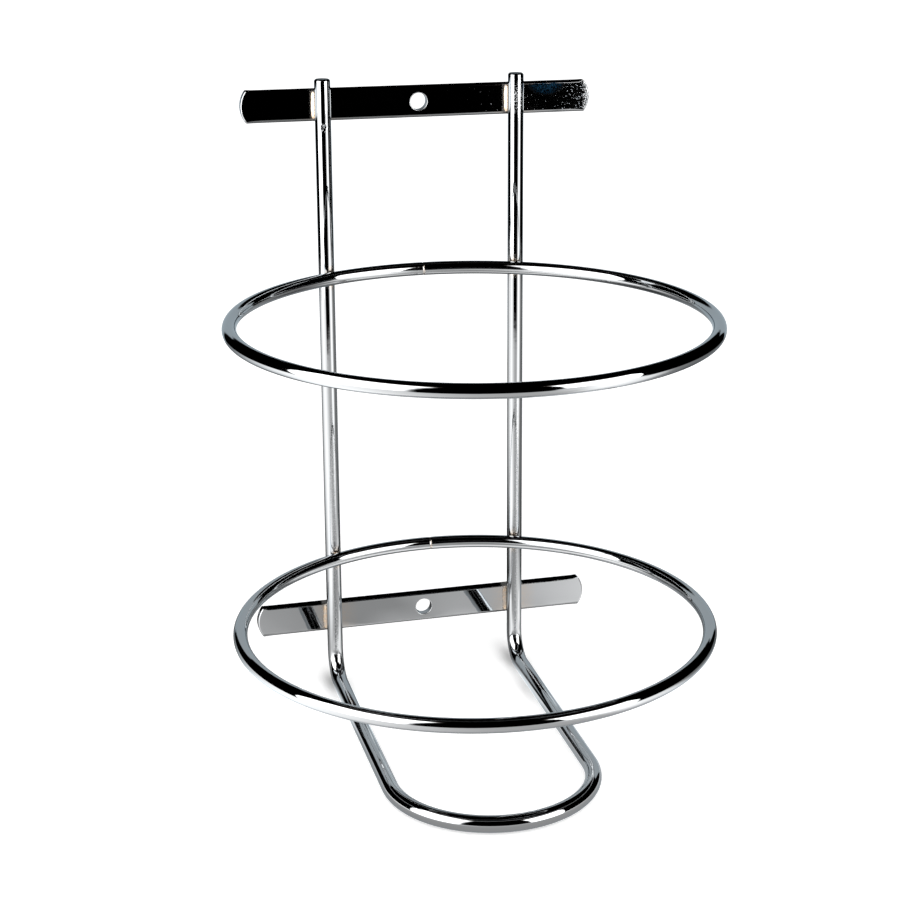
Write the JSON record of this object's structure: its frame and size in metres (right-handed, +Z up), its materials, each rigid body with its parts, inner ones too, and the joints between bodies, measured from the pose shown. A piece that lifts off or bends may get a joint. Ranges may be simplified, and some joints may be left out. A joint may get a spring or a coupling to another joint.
{
  "type": "wall bottle holder",
  "caption": "Chromed wire wall holder for a round bottle: two hoops and a base loop on bent uprights, with drilled flat strips for screwing to a wall.",
  "frame": {"origin": "on the surface the base loop stands on, under the middle of the outer box", "axes": "+Z up along the uprights, +Y towards the wall that the strips are screwed to, +X along the strips"},
  "size_m": [0.1448, 0.1454, 0.2],
  "materials": {
    "frame_chrome": "bright chrome plate on drawn steel wire",
    "ring_chrome": "bright chrome plate on drawn steel wire",
    "strip_chrome": "bright chrome plate on flat steel bar, a little grainy at the cut ends"
  },
  "bodies": {
    "root": {"wire_frame": "frame_chrome", "upper_ring": "ring_chrome", "lower_ring": "ring_chrome", "upper_strip": "strip_chrome", "lower_strip": "strip_chrome"}
  },
  "joints": []
}
